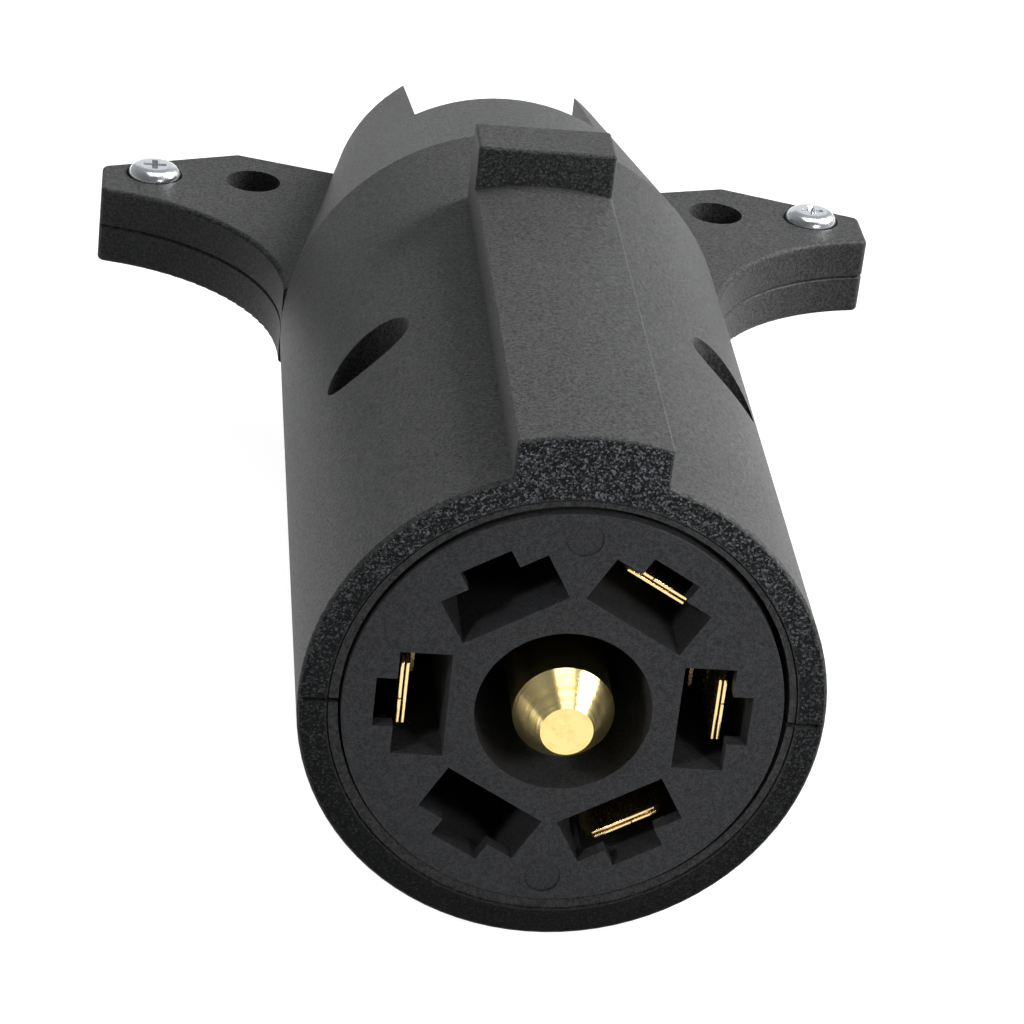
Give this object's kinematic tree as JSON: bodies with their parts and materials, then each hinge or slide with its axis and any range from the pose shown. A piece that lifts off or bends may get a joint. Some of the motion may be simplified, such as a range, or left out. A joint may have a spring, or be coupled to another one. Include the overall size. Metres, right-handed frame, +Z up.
{
  "type": "trailer wiring adapter",
  "caption": "Black moulded trailer wiring adapter: round blade plug with brass spring contacts and centre pin, key rib, finger wings and a round socket at the rear.",
  "frame": {"origin": "centre of the plug face, on the barrel's axis, where the centre pin's taper begins", "axes": "-Y points out of the plug face along the centre pin; +Y runs along the barrel to the rear socket; +Z points up through the key rib; +X points to the right seen from the plug face"},
  "size_m": [0.078, 0.1082, 0.0488],
  "materials": {
    "shell_plastic": "fine spark-eroded texture",
    "insert_plastic": "satin, fine grain",
    "socket_rubber": "moulded, matt",
    "turned_brass": "turned, bright",
    "spring_brass": "stamped strip, bright edges",
    "zinc_steel": "bright zinc plated",
    "wire_white": "extruded insulation",
    "wire_brown": "extruded insulation",
    "wire_yellow": "extruded insulation",
    "wire_green": "extruded insulation"
  },
  "bodies": {
    "housing": {"upper_shell": "shell_plastic", "lower_shell": "shell_plastic", "front_insert": "insert_plastic", "insert_retainer": "insert_plastic", "centre_pin": "turned_brass", "centre_pin_washer": "zinc_steel", "centre_pin_nut": "turned_brass", "rear_insert": "socket_rubber", "barrel_screws": "zinc_steel", "wing_screws": "zinc_steel", "terminal_ground": "spring_brass", "rear_pole_ground": "turned_brass", "wire_ground": "wire_white", "terminal_tail": "spring_brass", "rear_pole_tail": "turned_brass", "wire_tail": "wire_brown", "terminal_left": "spring_brass", "rear_pole_left": "turned_brass", "wire_left": "wire_yellow", "terminal_right": "spring_brass", "rear_pole_right": "turned_brass", "wire_right": "wire_green"},
    "ground_leaf": {"contact_leaf_ground": "spring_brass"},
    "tail_leaf": {"contact_leaf_tail": "spring_brass"},
    "left_leaf": {"contact_leaf_left": "spring_brass"},
    "right_leaf": {"contact_leaf_right": "spring_brass"}
  },
  "joints": [
    {"name": "ground_contact_flex", "type": "hinge", "parent": "housing", "child": "ground_leaf", "pos_m": [0.01276, 0.0196, 0], "axis": [0, 0, 1], "range_deg": [0, 3], "stiffness_Nm_per_rad": 1},
    {"name": "tail_contact_flex", "type": "hinge", "parent": "housing", "child": "tail_leaf", "pos_m": [0.00638, 0.0196, 0.01105], "axis": [-0.866, 0, 0.5], "range_deg": [0, 3], "stiffness_Nm_per_rad": 1},
    {"name": "left_contact_flex", "type": "hinge", "parent": "housing", "child": "left_leaf", "pos_m": [-0.01276, 0.0196, 0], "axis": [0, 0, -1], "range_deg": [0, 3], "stiffness_Nm_per_rad": 1},
    {"name": "right_contact_flex", "type": "hinge", "parent": "housing", "child": "right_leaf", "pos_m": [0.00638, 0.0196, -0.01105], "axis": [0.866, 0, 0.5], "range_deg": [0, 3], "stiffness_Nm_per_rad": 1}
  ]
}
